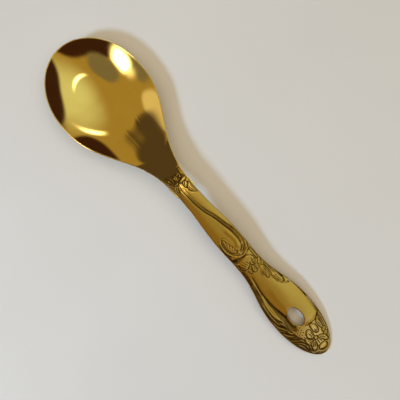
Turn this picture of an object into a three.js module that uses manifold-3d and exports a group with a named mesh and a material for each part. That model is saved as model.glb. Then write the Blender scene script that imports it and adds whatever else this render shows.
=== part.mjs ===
// A gold-toned rice serving spoon: a pressed bowl whose flat tail is brazed under a struck handle.
// Millimetres, +Z up. The spoon lies bowl up on the table z = 0, with its length along X:
// the bowl's tip is at -X and the handle's end at +X, with the origin midway between them.
import * as THREE from 'three';
import { mergeVertices } from 'three/addons/utils/BufferGeometryUtils.js';
import Module from 'manifold-3d';

// Lengths along the spoon, in order from the bowl's tip, and the widths between them
const NOSE_LENGTH = 36.5; // tip to the bowl's widest place
const BOWL_WIDTH = 61.2;
const TAPER_LENGTH = 77.5; // widest place to the narrowest part of the neck
const NECK_WIDTH = 11.8;
const SHANK_LENGTH = 44.8; // neck to the swell of the shank
const SHANK_WIDTH = 16;
const WAIST_LENGTH = 10.2; // swell to the waist below the palm
const WAIST_WIDTH = 15.4;
const PALM_LENGTH = 44.8; // waist to the palm's widest place
const PALM_WIDTH = 27.9;
const END_LENGTH = 31.2; // palm's widest place to the rounded end

// The bowl
const BOWL_SHEET = 1.5;
const RIM_HEIGHT = 12; // lowest place of the rim's outer edge, above the table
const RIM_LOW_RUN = 7; // that place, behind the bowl's widest place
const TIP_LIFT = 3.5; // rise of the rim from there to the tip
const NECK_RISE = 3.5; // rise of the rim from there to the tail
const RISE_DELAY = 2.7; // power that keeps the rim low for longer: 1 spreads the rise evenly
const BOWL_FULLNESS = 1.05; // 1 is a paraboloid, more is flatter below and steeper at the rim
const FOOT_WEAR = 0.4; // depth of the flats worn where the spoon rests on the table

// The handle
const HANDLE_SHEET = 2;
const ARCH_KNEE = 18; // how gently the arch over the neck turns down into the straight fall
const NECK_CROWN = 0.6; // drop from the handle's middle line to its edge at the neck
const PALM_CROWN = 2.2; // the same at the palm and round the end
const EDGE_ROLL = 3; // power of the crown's fall: the middle is flat, the edges roll over
const HOLE_LENGTH = 13; // oval hanging hole
const HOLE_WIDTH = 7.6;
const HOLE_FROM_END = 29; // its middle, from the handle's end

// The brazed lap between them
const LAP_AHEAD = 14.5; // the handle's front edge, ahead of the narrowest part of the neck
const LAP_LENGTH = 20;
const LAP_PLATE = 1.7; // handle over the lap, at the top of the arch
const LAP_BLEND = 8; // run in which the handle's back goes from the lap face to the full sheet
const TAIL_ROUND = 5; // rounding of the tail's tip
const BRAZE_FILM = 0.25;
const BRAZE_INSET = 0.4; // bare margin round the filler
const LAP_CLEARANCE = 0.3;

// How finely the surfaces are divided
const NOSE_STEPS = 10;
const TAPER_STEPS = 20;
const TAIL_STEPS = 4;
const SHANK_STEPS = 24;
const END_STEPS = 9;
const BOWL_ACROSS = 18;
const HANDLE_ACROSS = 14;
const HOLE_STEPS = 24;

// Stations along the spoon, from the bowl's tip
const atWidest = NOSE_LENGTH;
const atNeck = atWidest + TAPER_LENGTH;
const atShank = atNeck + SHANK_LENGTH;
const atWaist = atShank + WAIST_LENGTH;
const atPalm = atWaist + PALM_LENGTH;
const atEnd = atPalm + END_LENGTH;
const atRimLow = atWidest + RIM_LOW_RUN;
const atLap = atNeck - LAP_AHEAD;
const atTailTip = atLap + LAP_LENGTH;
const atTailRound = atTailTip - TAIL_ROUND;
const atHole = atEnd - HOLE_FROM_END;
const atCrest = (atLap + atTailTip) / 2;

// Levels
const lapFace = RIM_HEIGHT + NECK_RISE + BOWL_SHEET;
const lapBack = lapFace + BRAZE_FILM;
const crestTop = lapBack + LAP_PLATE;
const endTop = HANDLE_SHEET + PALM_CROWN - FOOT_WEAR;

const wasm = await Module();
wasm.setup();

// Goes from 0 to 1 with level ends and no jump in curvature
function ease(t) {
  return THREE.MathUtils.smootherstep(t, 0, 1);
}

function mix(from, to, t) {
  return from + (to - from) * t;
}

// Squared half width of the whole outline. The nose and the end are half ellipses,
// and between its widest and narrowest places the outline eases from one to the next.
function halfWidthSquared(s) {
  if (s < atWidest) {
    return (BOWL_WIDTH / 2) ** 2 * (1 - ((atWidest - s) / NOSE_LENGTH) ** 2);
  }
  if (s > atPalm) {
    return (PALM_WIDTH / 2) ** 2 * (1 - ((s - atPalm) / END_LENGTH) ** 2);
  }
  const places = [[atWidest, BOWL_WIDTH], [atNeck, NECK_WIDTH], [atShank, SHANK_WIDTH],
    [atWaist, WAIST_WIDTH], [atPalm, PALM_WIDTH]];
  const next = Math.max(1, places.findIndex(([station]) => s <= station));
  const [[from, fromWidth], [to, toWidth]] = [places[next - 1], places[next]];
  return (mix(fromWidth, toWidth, ease((s - from) / (to - from))) / 2) ** 2;
}

function halfWidth(s) {
  return Math.sqrt(Math.max(0, halfWidthSquared(s)));
}

// The tail follows the neck's outline and has a rounded tip
function bowlHalfWidth(s) {
  const rounding = Math.max(0, (s - atTailRound) / TAIL_ROUND);
  return halfWidth(Math.min(s, atTailRound)) * Math.sqrt(Math.max(0, 1 - rounding ** 2));
}

// Share of the rise between the low rim and the flat tail
function neckShare(s) {
  const share = THREE.MathUtils.clamp((s - atRimLow) / (atLap - atRimLow), 0, 1);
  return ease(share ** RISE_DELAY);
}

// Height of the rim's outer edge, which runs level into the tail
function rimHeight(s) {
  const lift = TIP_LIFT * (Math.max(0, atRimLow - s) / atRimLow) ** 2;
  return RIM_HEIGHT + lift + NECK_RISE * neckShare(s);
}

// Outside of the bowl, as pressed: the hollow fades out towards the flat tail
function bowlOutside(s, y) {
  const inward = (halfWidthSquared(s) - y ** 2) / (BOWL_WIDTH / 2) ** 2;
  const hollow = 1 - Math.max(0, 1 - inward) ** BOWL_FULLNESS;
  const fade = 1 - neckShare(s) ** 2;
  return rimHeight(s) - (RIM_HEIGHT + FOOT_WEAR) * hollow * fade;
}

function bowlPoint(s, y) {
  return new THREE.Vector3(s, y, bowlOutside(s, y));
}

// The same point on the inside: one sheet further in, square to the surface
function bowlInsidePoint(s, y) {
  const reach = 0.01;
  const along = (bowlOutside(s + reach, y) - bowlOutside(s - reach, y)) / (2 * reach);
  const across = (bowlOutside(s, y + reach) - bowlOutside(s, y - reach)) / (2 * reach);
  const normal = new THREE.Vector3(-along, -across, 1).normalize();
  return bowlPoint(s, y).addScaledVector(normal, BOWL_SHEET);
}

// Middle line of the handle's face: an arch over the lap that falls to the table
function spineHeight(s) {
  const fall = (station) => Math.hypot(station - atCrest, ARCH_KNEE) - ARCH_KNEE;
  return mix(crestTop, endTop, fall(s) / fall(atEnd));
}

// 0 on the handle's middle line and 1 on its edge, also round the end
function towardsEdge(s, y) {
  if (s > atPalm) {
    return Math.hypot((s - atPalm) / END_LENGTH, y / (PALM_WIDTH / 2));
  }
  return Math.abs(y) / halfWidth(s);
}

// Past the palm's widest place the crown falls off towards the end as well
function handleTop(s, y) {
  const crown = mix(NECK_CROWN, PALM_CROWN, ease((s - atTailTip) / (atPalm - atTailTip)));
  return spineHeight(s) - crown * towardsEdge(s, y) ** EDGE_ROLL;
}

// The back is flat over the lap and hollow under the rest of the face
function handleBack(s, y) {
  const past = ease((s - atTailTip - LAP_CLEARANCE) / LAP_BLEND);
  return mix(lapBack, handleTop(s, y) - HANDLE_SHEET, past);
}

// Even steps after the first station, up to and including the last
function steps(from, to, count) {
  return Array.from({ length: count }, (_, i) => mix(from, to, (i + 1) / count));
}

// Places across a row, closer together towards its two ends
function acrossRow(half, count) {
  return Array.from({ length: count + 1 }, (_, j) => -half * Math.cos((Math.PI * j) / count));
}

// Geometry with only positions, coincident points joined and collapsed triangles left out
function weld(geometry) {
  geometry.deleteAttribute('normal');
  geometry.deleteAttribute('uv');
  const welded = mergeVertices(geometry);
  const index = Array.from(welded.index.array);
  const kept = [];
  for (let i = 0; i < index.length; i += 3) {
    const [a, b, c] = index.slice(i, i + 3);
    if (a !== b && b !== c && c !== a) {
      kept.push(a, b, c);
    }
  }
  welded.setIndex(kept);
  return welded;
}

// Closed sheet between rows of points on its upper and lower faces
function sheetBetween(upper, lower) {
  const rowLength = upper[0].length;
  const below = upper.length * rowLength;
  const index = [];
  const quad = (a, b, c, d) => index.push(a, b, c, a, c, d);
  const last = rowLength - 1;
  for (let i = 0; i < upper.length - 1; i += 1) {
    const row = i * rowLength;
    const nextRow = row + rowLength;
    for (let j = 0; j < last; j += 1) {
      quad(row + j, nextRow + j, nextRow + j + 1, row + j + 1);
      quad(below + row + j, below + row + j + 1, below + nextRow + j + 1, below + nextRow + j);
    }
    quad(below + row, below + nextRow, nextRow, row);
    quad(below + nextRow + last, below + row + last, row + last, nextRow + last);
  }
  const endRow = below - rowLength;
  for (let j = 0; j < last; j += 1) {
    quad(below + j + 1, below + j, j, j + 1);
    quad(below + endRow + j, below + endRow + j + 1, endRow + j + 1, endRow + j);
  }
  const geometry = new THREE.BufferGeometry().setFromPoints([...upper.flat(), ...lower.flat()]);
  geometry.setIndex(index);
  return weld(geometry);
}

function solid(geometry) {
  const welded = weld(geometry);
  return new wasm.Manifold(new wasm.Mesh({
    numProp: 3,
    vertProperties: new Float32Array(welded.attributes.position.array),
    triVerts: new Uint32Array(welded.index.array),
  }));
}

function geometryOf(manifold) {
  const mesh = manifold.getMesh();
  const geometry = new THREE.BufferGeometry();
  geometry.setAttribute('position', new THREE.BufferAttribute(mesh.vertProperties, 3));
  geometry.setIndex(new THREE.BufferAttribute(mesh.triVerts, 1));
  geometry.computeVertexNormals();
  return geometry;
}

// What the table has worn away: everything below its surface
function tableWear() {
  const depth = 2 * FOOT_WEAR;
  const block = new THREE.BoxGeometry(2 * atEnd, 2 * BOWL_WIDTH, depth);
  block.translate(atEnd / 2, 0, -depth / 2);
  return solid(block);
}

function bowlGeometry() {
  const nose = Array.from({ length: NOSE_STEPS + 1 }, (_, i) => {
    return NOSE_LENGTH * (1 - Math.cos((Math.PI / 2) * (i / NOSE_STEPS)));
  });
  const tip = Array.from({ length: TAIL_STEPS + 1 }, (_, i) => {
    return atTailRound + TAIL_ROUND * Math.sin((Math.PI / 2) * (i / TAIL_STEPS));
  });
  const taper = steps(atWidest, atLap, TAPER_STEPS);
  const tail = steps(atLap, atTailRound, TAIL_STEPS).slice(0, -1);
  const rows = [...nose, ...taper, ...tail, ...tip].map((s) => {
    return acrossRow(bowlHalfWidth(s), BOWL_ACROSS).map((y) => [s, y]);
  });
  const inside = rows.map((row) => row.map(([s, y]) => bowlInsidePoint(s, y)));
  const outside = rows.map((row) => row.map(([s, y]) => bowlPoint(s, y)));
  return geometryOf(solid(sheetBetween(inside, outside)).subtract(tableWear()));
}

function hangingHole() {
  const oval = new THREE.Shape();
  oval.absellipse(atHole, 0, HOLE_LENGTH / 2, HOLE_WIDTH / 2, 0, 2 * Math.PI);
  return solid(new THREE.ExtrudeGeometry(oval, {
    depth: crestTop, bevelEnabled: false, curveSegments: HOLE_STEPS,
  }));
}

function handleGeometry() {
  const lap = [atLap, ...steps(atLap, atTailTip + LAP_CLEARANCE, TAIL_STEPS)];
  const shank = steps(atTailTip + LAP_CLEARANCE, atPalm, SHANK_STEPS);
  const end = Array.from({ length: END_STEPS }, (_, i) => {
    return atPalm + END_LENGTH * Math.sin((Math.PI / 2) * ((i + 1) / END_STEPS));
  });
  const rows = [...lap, ...shank, ...end].map((s) => {
    return acrossRow(halfWidth(s), HANDLE_ACROSS).map((y) => [s, y]);
  });
  const face = rows.map((row) => row.map(([s, y]) => new THREE.Vector3(s, y, handleTop(s, y))));
  const back = rows.map((row) => row.map(([s, y]) => new THREE.Vector3(s, y, handleBack(s, y))));
  return geometryOf(solid(sheetBetween(face, back)).subtract(hangingHole()).subtract(tableWear()));
}

// Thin filler between the two flat faces of the lap, with the tail's outline
function brazeGeometry() {
  const stations = [atLap + BRAZE_INSET, ...steps(atLap, atTailRound, TAIL_STEPS)];
  const side = stations.map((s) => new THREE.Vector2(s, bowlHalfWidth(s) - BRAZE_INSET));
  const film = new THREE.Shape(side);
  const half = side.at(-1).y;
  film.absellipse(atTailRound, 0, TAIL_ROUND - BRAZE_INSET, half, Math.PI / 2, -Math.PI / 2, true);
  side.toReversed().slice(1).forEach((point) => film.lineTo(point.x, -point.y));
  film.closePath();
  const geometry = new THREE.ExtrudeGeometry(film, { depth: BRAZE_FILM, bevelEnabled: false });
  geometry.translate(0, 0, lapFace);
  return geometry;
}

function piece(name, geometry, color, roughness) {
  const material = new THREE.MeshStandardMaterial({ color, roughness, metalness: 1 });
  const mesh = new THREE.Mesh(geometry, material);
  mesh.name = name;
  return mesh;
}

const spoon = new THREE.Group();
spoon.add(piece('bowl', bowlGeometry(), 0xd9b252, 0.12));
spoon.add(piece('handle', handleGeometry(), 0xcfa545, 0.2));
spoon.add(piece('braze', brazeGeometry(), 0xc9b06a, 0.4));
spoon.position.x = -atEnd / 2;

export default spoon;
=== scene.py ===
# %% [markdown]
# A brass rice spoon
#
# This lesson dresses a rice serving spoon whose solids are already made. The real spoon is two pieces
# of brass sheet: a bowl pressed between two tools, and a handle struck with flowers between two dies.
# A thin film of filler metal joins them in a lap under the leaf collar at the neck. The solids fix
# every size, so Blender only adds what a solid model leaves out: rounded edges, the struck flowers,
# and the finish of the metal.

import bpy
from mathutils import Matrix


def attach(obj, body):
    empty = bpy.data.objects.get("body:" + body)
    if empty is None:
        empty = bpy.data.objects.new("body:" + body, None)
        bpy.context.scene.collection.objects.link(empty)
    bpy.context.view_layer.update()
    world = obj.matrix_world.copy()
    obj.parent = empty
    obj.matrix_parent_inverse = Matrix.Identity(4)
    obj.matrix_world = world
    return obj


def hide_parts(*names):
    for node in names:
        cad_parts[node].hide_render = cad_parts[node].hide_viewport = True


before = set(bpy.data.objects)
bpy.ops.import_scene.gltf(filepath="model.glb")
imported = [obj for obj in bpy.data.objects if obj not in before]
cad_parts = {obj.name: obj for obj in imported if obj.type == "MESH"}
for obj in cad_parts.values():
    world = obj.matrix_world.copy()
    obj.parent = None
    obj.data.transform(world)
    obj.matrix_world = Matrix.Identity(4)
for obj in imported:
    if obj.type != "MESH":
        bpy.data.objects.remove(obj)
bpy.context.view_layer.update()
print("solids:", sorted(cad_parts))

# %% What the lesson uses
import math

import bmesh
import bpy
import numpy as np
from mathutils import Vector

MM = 0.001  # the lesson thinks in millimetres and Blender in metres
scene = bpy.context.scene
scene.view_settings.view_transform = "Standard"

# %% [markdown]
# The camera looks almost straight down on the spoon as it lies on a table. The picture is square. Its
# angle, distance and lens were found by laying the spoon's outline over the photograph. The spoon's
# length runs along X, so the camera is turned about the vertical until the bowl points to the upper
# left of the picture.

# %% Camera
VIEW_TURN = 48.6  # degrees from +X to the picture's right hand side
VIEW_HEIGHT = 86.0  # degrees above the table
VIEW_DISTANCE = 397.4
VIEW_AIM = Vector((2.1, 3.5, 0.0))
SENSOR_WIDTH = 36.0
LENS = 57.6
NEAREST_SEEN = 10.0


def towards(around, up):
    """Direction at an angle from the picture's right hand side, and at an angle above the table."""
    turn = math.radians(around + VIEW_TURN)
    rise = math.radians(up)
    return Vector((math.cos(turn) * math.cos(rise), math.sin(turn) * math.cos(rise), math.sin(rise)))


eye = towards(270, VIEW_HEIGHT)
camera = bpy.data.objects.new("camera", bpy.data.cameras.new("camera"))
camera.data.sensor_width = SENSOR_WIDTH
camera.data.lens = LENS
camera.data.clip_start = NEAREST_SEEN * MM
camera.location = (VIEW_AIM + eye * VIEW_DISTANCE) * MM
camera.rotation_euler = (-eye).to_track_quat("-Z", "Y").to_euler()
scene.collection.objects.link(camera)
scene.camera = camera
print("camera at", [round(value, 3) for value in camera.location])

# %% [markdown]
# Small helpers keep the later cells short. Two of them blend numbers, four start a material, add nodes
# to it and link them, and one makes an object out of a finished bmesh. A bmesh is Blender's editable
# mesh: all the modelling operators work on it, and it becomes an ordinary mesh at the end.

# %% Helpers for numbers


def ease(t):
    """Goes from 0 to 1 with level ends."""
    t = np.clip(t, 0, 1)
    return t**3 * (10 - 15 * t + 6 * t**2)


def mix(start, stop, t):
    """The number at a share of the way."""
    return start + (stop - start) * t


# %% Helpers for nodes and pieces


def add(tree, kind, sockets=None, **settings):
    """A new node with its settings and the values of its sockets."""
    node = tree.nodes.new("ShaderNode" + kind)
    for name, value in settings.items():
        setattr(node, name, value)
    for name, value in (sockets or {}).items():
        node.inputs[name].default_value = value
    return node


def link(tree, source, output, target, inlet):
    """Joins one node's output to another's input."""
    tree.links.new(source.outputs[output], target.inputs[inlet])


def new_material(name):
    """An empty node material with its output, and the tree to fill."""
    material = bpy.data.materials.new(name)
    material.use_nodes = True
    material.node_tree.nodes.clear()
    add(material.node_tree, "OutputMaterial")
    return material, material.node_tree


def show(tree, shader, output):
    """Sends a shader to the material's output."""
    link(tree, shader, output, tree.nodes["Material Output"], "Surface")


def piece_from(form, name, material):
    """Turns a finished bmesh into a smooth shaded object at the origin."""
    mesh = bpy.data.meshes.new(name)
    form.to_mesh(mesh)
    form.free()
    mesh.materials.append(material)
    mesh.shade_smooth()
    made = bpy.data.objects.new(name, mesh)
    scene.collection.objects.link(made)
    print(name, "has", sum(len(face.vertices) - 2 for face in mesh.polygons), "triangles")
    return made


# %% [markdown]
# The floor is a plain pale disc with the faint unevenness of a painted table top. It lies just under
# the spoon at z = 0, and it isn't part of the object.

# %% Floor
FLOOR_RADIUS = 4000
FLOOR_SIDES = 96
FLOOR_SHADES = [(0.60, 0.575, 0.54, 1), (0.66, 0.635, 0.60, 1)]

floor_paint, tree = new_material("floor_paint")
place = add(tree, "TexCoord")
unevenness = add(tree, "TexNoise", {"Scale": 9.0, "Detail": 2.0})
paint = add(tree, "ValToRGB")
for mark, shade in zip(paint.color_ramp.elements, FLOOR_SHADES):
    mark.color = shade
shader = add(tree, "BsdfPrincipled", {"Roughness": 0.6})
link(tree, place, "Object", unevenness, "Vector")
link(tree, unevenness, "Fac", paint, "Fac")
link(tree, paint, "Color", shader, "Base Color")
show(tree, shader, "BSDF")

form = bmesh.new()
bmesh.ops.create_circle(form, cap_ends=True, segments=FLOOR_SIDES, radius=FLOOR_RADIUS * MM)
floor = piece_from(form, "floor", floor_paint)

# %% [markdown]
# Polished metal is nothing but its surroundings, so the studio is laid out as a room would be. The
# world is the ceiling and walls: dim and warm, with one light part high on the right. It shows in the
# metal and adds little to the floor. Two lamps light the floor: a cool one at the lower left, which
# casts the shadow to the other side, and a large warm one overhead, which fills it. Both are hidden
# from reflections, because the metal shows the cards instead.

# %% World
DIM_ROOM = (0.40, 0.30, 0.11, 1)
LIGHT_PART = (0.74, 0.83, 0.72, 1)
LIGHT_PART_AT = towards(22, 45)
LIGHT_PART_EDGE = 0.6  # cosine of the angle at which the light part has faded out
ROOM_ON_FLOOR = 0.35  # share of the room's light that reaches the floor

world = bpy.data.worlds.new("studio")
world.use_nodes = True
tree = world.node_tree
direction = add(tree, "TexCoord")
nearness_to_light = add(tree, "VectorMath", {1: LIGHT_PART_AT}, operation="DOT_PRODUCT")
blend = add(tree, "MapRange", {"From Min": LIGHT_PART_EDGE}, interpolation_type="SMOOTHSTEP")
walls = add(tree, "Mix", data_type="RGBA")
walls.inputs["A"].default_value = DIM_ROOM
walls.inputs["B"].default_value = LIGHT_PART
link(tree, direction, "Generated", nearness_to_light, 0)
link(tree, nearness_to_light, "Value", blend, "Value")
link(tree, blend, "Result", walls, "Factor")
link(tree, walls, "Result", tree.nodes["Background"], "Color")
ray = add(tree, "LightPath")
strength = add(tree, "Math", {1: ROOM_ON_FLOOR - 1, 2: 1.0}, operation="MULTIPLY_ADD")
link(tree, ray, "Is Diffuse Ray", strength, 0)
link(tree, strength, "Value", tree.nodes["Background"], "Strength")
scene.world = world
print("the room is", len(tree.nodes), "nodes")

# %% Lamps


def hang_lamp(name, place, distance, size, watts, colour):
    """A soft round lamp in this direction. It shines on the table and shows in no reflection."""
    lamp = bpy.data.objects.new(name, bpy.data.lights.new(name, "AREA"))
    lamp.data.shape = "DISK"
    lamp.data.size = size * MM
    lamp.data.energy = watts
    lamp.data.color = colour
    lamp.location = place * distance * MM
    lamp.rotation_euler = place.to_track_quat("Z", "Y").to_euler()
    lamp.visible_glossy = False
    scene.collection.objects.link(lamp)
    print(name, "at", [round(value, 2) for value in lamp.location])


hang_lamp("side_lamp", towards(217, 47), distance=1300, size=220, watts=11.5, colour=(0.45, 0.67, 1.0))
hang_lamp("top_lamp", towards(90, 88), distance=1500, size=2200, watts=19.2, colour=(1.0, 0.86, 0.67))

# %% [markdown]
# Cards hang round the bowl, as photographers do it: dark ones low down, which darken the rim, and a
# few glowing ones that draw the white patch and the streaks of light. Smaller ones hang close to the
# handle: they darken the neck and the left hand edges, and light the flower at the end. A card that
# hangs close shows only in the run of metal beside it, so its distance also says how much of the
# spoon it serves. Every card is a piece of a ball's inside, so two angles say where its middle is and
# two more how far it reaches. A hard edge would show in the mirror, so each card is rounded and fades
# out: the fade is stored on the grid, and it mixes the card's glow with a clear shader.

# %% Card paint


def card_paint(name, glow, falloff=1.0):
    """Card with a plain glow. It reflects nothing, so it stays as light or dark as it is written."""
    material, tree = new_material(name)
    fade = add(tree, "Attribute", attribute_name="fade")
    slow = add(tree, "Math", {1: falloff}, operation="POWER")
    clear = add(tree, "BsdfTransparent")
    light = add(tree, "Emission", {"Color": (*glow, 1), "Strength": 1.0})
    blend = add(tree, "MixShader")
    link(tree, fade, "Fac", slow, 0)
    link(tree, slow, "Value", blend, 0)
    link(tree, clear, "BSDF", blend, 1)
    link(tree, light, "Emission", blend, 2)
    show(tree, blend, "Shader")
    return material


brown_paint = card_paint("brown_paint", (0.045, 0.018, 0.013))
grey_paint = card_paint("grey_paint", (0.085, 0.062, 0.045))
dim_paint = card_paint("dim_paint", (0.21, 0.195, 0.18))
cream_paint = card_paint("cream_paint", (0.78, 0.70, 0.58))
pale_paint = card_paint("pale_paint", (0.9, 1.1, 1.7))
streak_paint = card_paint("streak_paint", (5.0, 5.0, 5.0), falloff=2.2)
window_paint = card_paint("window_paint", (12.0, 12.0, 12.0), falloff=3.0)
print("paints so far:", len(bpy.data.materials))

# %% Hanging a card
BY_BOWL = Vector((-80.0, 0.0, 5.0))  # most cards hang round the bowl
BY_NECK = Vector((-15.0, 0.0, 15.0))
BY_SHANK = Vector((5.0, 0.0, 10.0))
BY_END = Vector((112.0, 0.0, 5.0))
TIGHT = 60
CLOSE = 140
NEAR = 420  # from here the handle sees a card at other angles than the bowl does
FAR = 2000
CARD_STEP = 4  # each card hangs a little further out than the one before
CARD_CORNERS = 2.5  # 2 makes ovals, more makes rounded oblongs
CARD_COLUMNS = 60
CARD_ROWS = 40

hung = []


def hang_card(paint, place, distance, at, reach, soft, slant=0.0):
    """A card round a place. Its middle is at an angle round and up, and it reaches so far each way.

    Soft is the share of it that fades out, and slant is how much it climbs for each degree round."""
    distance += CARD_STEP * len(hung)
    around, up = at
    wide, tall = reach
    form = bmesh.new()
    fade = form.verts.layers.float.new("fade")
    bmesh.ops.create_grid(form, x_segments=CARD_COLUMNS, y_segments=CARD_ROWS, size=1.0)
    for vert in form.verts:
        out = (abs(vert.co.x) ** CARD_CORNERS + abs(vert.co.y) ** CARD_CORNERS) ** (1 / CARD_CORNERS)
        vert[fade] = float(ease((1 - out) / soft))
        turn = wide * vert.co.x
        rise = up + tall * vert.co.y + slant * turn
        vert.co = (place + towards(around + turn, rise) * distance) * MM
    card = piece_from(form, "card_" + str(len(hung)), paint)
    card.visible_camera = False
    card.visible_diffuse = False
    card.visible_shadow = False
    hung.append(card)


print("cards hang from", TIGHT, "to", FAR, "mm away")

# %% Cards
# Close to the handle: the dark neck, the lit end flower, and the dark left hand edges
hang_card(grey_paint, BY_SHANK, TIGHT, at=(133, 42), reach=(21, 26), soft=0.08)
hang_card(pale_paint, BY_END, CLOSE, at=(318, 52), reach=(48, 17), soft=0.6)
hang_card(pale_paint, BY_END, CLOSE, at=(40, 33), reach=(30, 8), soft=0.9)
hang_card(brown_paint, BY_END, CLOSE, at=(212, 24), reach=(46, 26), soft=0.3)
hang_card(brown_paint, BY_NECK, TIGHT, at=(215, 28), reach=(44, 24), soft=0.4)

# For the bowl's upper rim: the white patch, a dark wall, and two dim patches
hang_card(window_paint, BY_BOWL, NEAR, at=(221, 32), reach=(30, 18), soft=0.9)
hang_card(brown_paint, BY_BOWL, NEAR, at=(260, 0), reach=(38, 47), soft=0.12)
hang_card(dim_paint, BY_BOWL, NEAR, at=(206, 20), reach=(17, 12), soft=0.6)
hang_card(dim_paint, BY_BOWL, CLOSE, at=(240, 58.5), reach=(50, 17), soft=0.4)

# The two streaks of light
hang_card(streak_paint, BY_BOWL, CLOSE, at=(340, 64), reach=(62, 5), soft=1.0, slant=-0.16)
hang_card(streak_paint, BY_BOWL, FAR, at=(75, 29.5), reach=(26, 6), soft=1.0, slant=0.4)

# Walls of the room: brown ones for the rim, a grey one for the neck, and a cream one beside it
hang_card(brown_paint, BY_BOWL, FAR, at=(290, 0), reach=(39, 46), soft=0.12)
hang_card(brown_paint, BY_BOWL, FAR, at=(13, 0), reach=(49, 39), soft=0.12, slant=-0.12)
hang_card(brown_paint, BY_BOWL, FAR, at=(79, 0), reach=(18, 25), soft=0.2)
hang_card(grey_paint, BY_BOWL, FAR, at=(135, 0), reach=(43, 42.6), soft=0.03)
hang_card(cream_paint, BY_BOWL, FAR, at=(174, 20), reach=(17, 14), soft=0.4)

# %% [markdown]
# Every size of the spoon repeats the solids' source. Stations are counted in millimetres from the
# bowl's tip, and x is the station less half the length. The outline is half an ellipse at the bowl's
# nose and at the end of the handle, and eases from one width to the next between them.

# %% Sizes of the spoon
NOSE_LENGTH = 36.5
BOWL_WIDTH = 61.2
TAPER_LENGTH = 77.5
NECK_WIDTH = 11.8
SHANK_LENGTH = 44.8
SHANK_WIDTH = 16.0
WAIST_LENGTH = 10.2
WAIST_WIDTH = 15.4
PALM_LENGTH = 44.8
PALM_WIDTH = 27.9
END_LENGTH = 31.2

AT_WIDEST = NOSE_LENGTH
AT_NECK = AT_WIDEST + TAPER_LENGTH
AT_SHANK = AT_NECK + SHANK_LENGTH
AT_WAIST = AT_SHANK + WAIST_LENGTH
AT_PALM = AT_WAIST + PALM_LENGTH
AT_END = AT_PALM + END_LENGTH
WIDTHS = [
    (AT_WIDEST, BOWL_WIDTH),
    (AT_NECK, NECK_WIDTH),
    (AT_SHANK, SHANK_WIDTH),
    (AT_WAIST, WAIST_WIDTH),
    (AT_PALM, PALM_WIDTH),
]


def half_width_squared(s):
    """Square of half the spoon's width at the stations s."""
    nose = (BOWL_WIDTH / 2) ** 2 * (1 - ((AT_WIDEST - s) / NOSE_LENGTH) ** 2)
    end = (PALM_WIDTH / 2) ** 2 * (1 - ((s - AT_PALM) / END_LENGTH) ** 2)
    middle = BOWL_WIDTH / 2
    for (start, width), (stop, next_width) in zip(WIDTHS, WIDTHS[1:]):
        middle = middle + (next_width - width) / 2 * ease((s - start) / (stop - start))
    return np.where(s < AT_WIDEST, nose, np.where(s > AT_PALM, end, middle**2))


def half_width(s):
    """Half the spoon's width at the stations s."""
    return np.sqrt(np.clip(half_width_squared(s), 0, None))


print("half widths", half_width(np.array([AT_WIDEST, AT_NECK, AT_WAIST, AT_PALM])))

# %% Helpers for outlines
WEAR_BLEND = 0.1  # a worn foot runs out this softly


def resting(points):
    """The same points in metres, with what lies under the table top worn smoothly away."""
    s, y, z = points.T
    worn = (z + np.hypot(z, WEAR_BLEND)) / 2
    return np.column_stack([s - AT_END / 2, y, worn]) * MM


def walked(line):
    """Length of the way along a line to each of its points."""
    return np.concatenate([[0], np.cumsum(np.hypot(*np.diff(line, axis=0).T))])


def walk_along(line, share):
    """Places at these shares of a line's length, and the outward direction, left of the walk."""
    length = walked(line)
    at = share * length[-1]
    here = np.column_stack([np.interp(at, length, line[:, i]) for i in (0, 1)])
    slope = np.gradient(line, length, axis=0)
    along = np.column_stack([np.interp(at, length, slope[:, i]) for i in (0, 1)])
    along /= np.hypot(*along.T)[:, None]
    out = np.column_stack([-along[:, 1], along[:, 0]])
    on_middle = np.abs(here[:, 1]) < 1e-6
    out[on_middle] = np.sign(out[on_middle]) * (1, 0)
    return here, out


# %% [markdown]
# The bowl is pressed from one disc of sheet. The tools draw the sheet thinner towards the rim, and
# the rim is polished round. It could be a lattice under a Subdivision Surface with a Solidify
# modifier, but a mirror finish shows every uneven facet. So one grid of faces is bent over instead:
# its columns run round half the outline, and its rows go from the middle of the inside, over the
# round rim, to the middle of the outside. The mirror operator makes the other half, and merging what
# touches closes the shell.

# %% Surface of the bowl
BOWL_SHEET = 1.5
RIM_HEIGHT = 12.0
RIM_LOW_RUN = 7.0
TIP_LIFT = 3.5
NECK_RISE = 3.5
RISE_DELAY = 2.7
BOWL_FULLNESS = 1.05
FOOT_WEAR = 0.4
TAIL_ROUND = 5.0
LAP_AHEAD = 14.5
LAP_LENGTH = 20.0

AT_RIM_LOW = AT_WIDEST + RIM_LOW_RUN
AT_LAP = AT_NECK - LAP_AHEAD
AT_TAIL_TIP = AT_LAP + LAP_LENGTH
AT_TAIL_ROUND = AT_TAIL_TIP - TAIL_ROUND
AT_CREST = (AT_LAP + AT_TAIL_TIP) / 2


def bowl_outside(s, y):
    """Height of the bowl's underside. The hollow fades out towards the flat tail."""
    run = ease(np.clip((s - AT_RIM_LOW) / (AT_LAP - AT_RIM_LOW), 0, 1) ** RISE_DELAY)
    rim = RIM_HEIGHT + TIP_LIFT * (np.clip(AT_RIM_LOW - s, 0, None) / AT_RIM_LOW) ** 2 + NECK_RISE * run
    inward = (half_width_squared(s) - y**2) / (BOWL_WIDTH / 2) ** 2
    hollow = 1 - np.clip(1 - inward, 0, None) ** BOWL_FULLNESS
    return rim - (RIM_HEIGHT + FOOT_WEAR) * hollow * (1 - run**2)


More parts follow.
